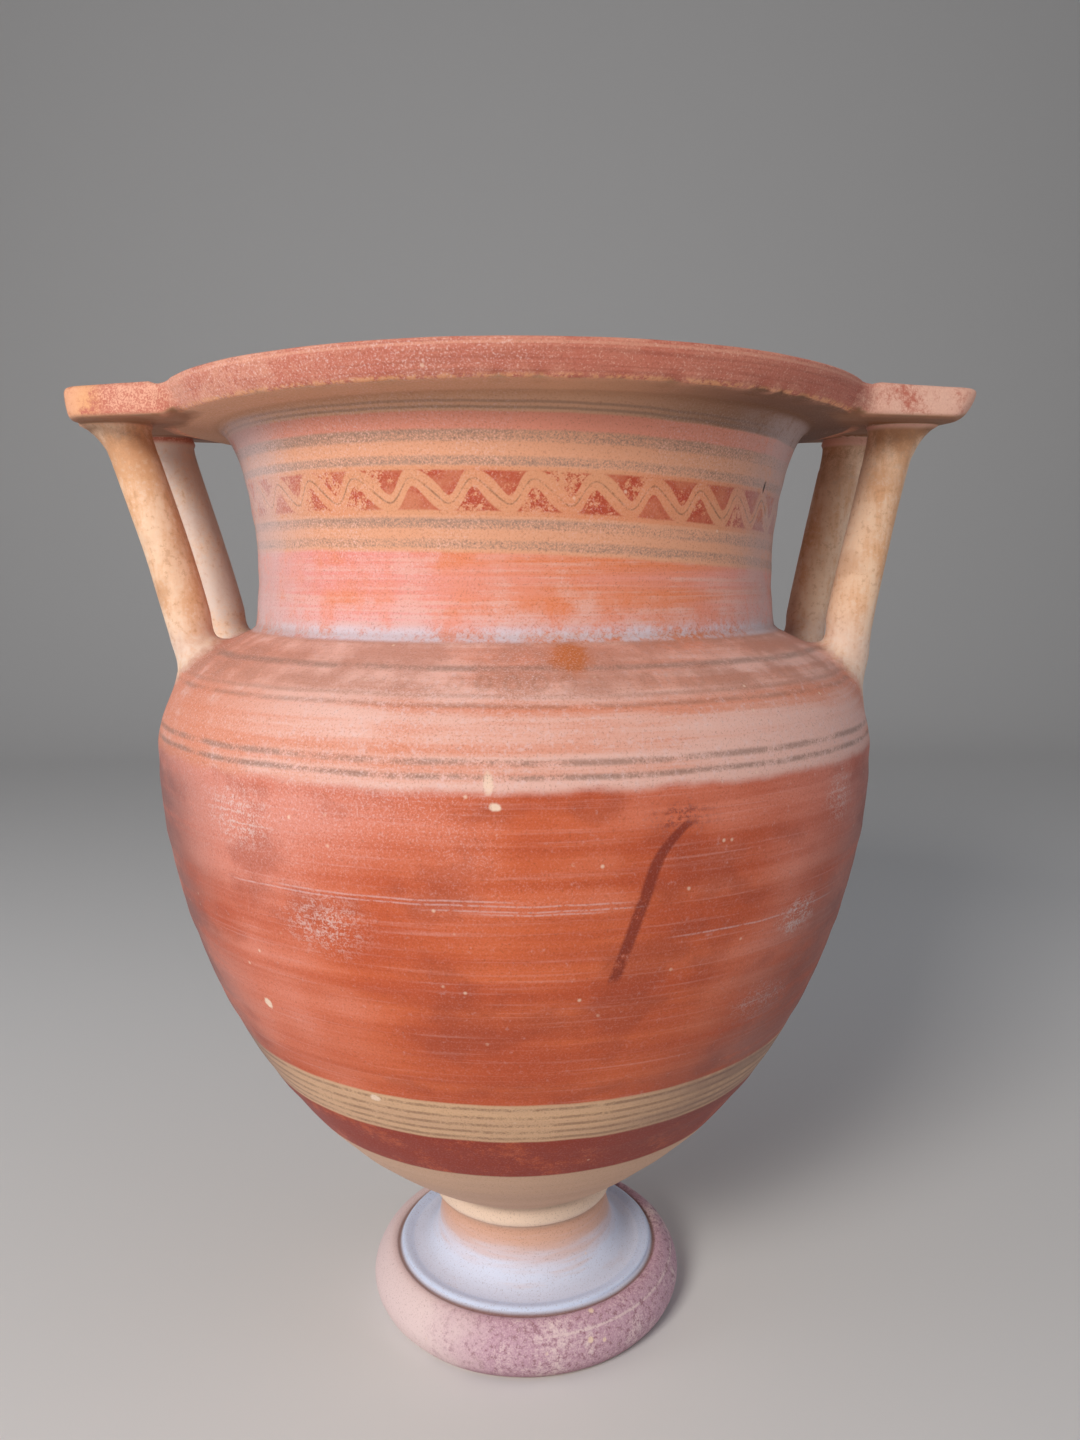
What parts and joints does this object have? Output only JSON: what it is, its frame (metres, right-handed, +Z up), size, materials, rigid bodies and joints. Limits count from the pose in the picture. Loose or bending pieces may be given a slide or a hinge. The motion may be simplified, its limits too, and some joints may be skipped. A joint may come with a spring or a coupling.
{
  "type": "column krater",
  "caption": "Terracotta mixing bowl on a moulded foot, with a wide neck, an overhanging flat rim and column handles under flat plates; painted bands and a wave frieze.",
  "frame": {"origin": "middle of the foot on the resting plane, under the middle of the handles", "axes": "+Z up along the bowl's axis, X along the handles, the pictured side towards -Y"},
  "size_m": [0.3674, 0.3126, 0.4188],
  "materials": {
    "terracotta": "matt burnished clay with worn painted bands"
  },
  "bodies": {
    "root": {"krater": "terracotta"}
  },
  "joints": []
}
